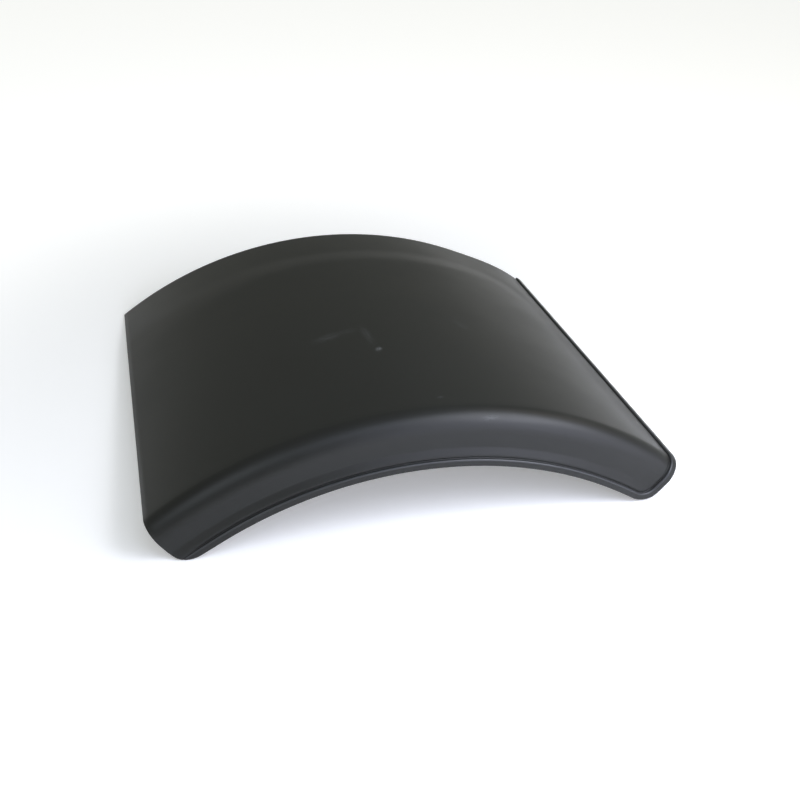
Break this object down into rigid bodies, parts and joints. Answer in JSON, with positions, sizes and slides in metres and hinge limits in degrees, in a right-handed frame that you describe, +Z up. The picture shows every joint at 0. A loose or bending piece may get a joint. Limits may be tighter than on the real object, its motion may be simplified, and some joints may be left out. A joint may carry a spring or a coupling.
{
  "type": "mudguard",
  "caption": "Arched one-piece plastic mudguard section with a round shoulder, a flared side skirt and a raised rim along its foot and up one end.",
  "frame": {"origin": "middle of the guard's box in plan, at the level of the skirt's two lowest corners", "axes": "+X along the direction of travel, towards the rimmed end; +Y along the axle, from the skirt to the plain inner edge; +Z up, away from the wheel. The wheel axis runs along Y."},
  "size_m": [0.7274, 0.6632, 0.1676],
  "materials": {
    "moulded_plastic": "black moulded plastic, satin, with a fine even grain and faint handling scuffs"
  },
  "bodies": {
    "root": {"mudguard": "moulded_plastic"}
  },
  "joints": []
}
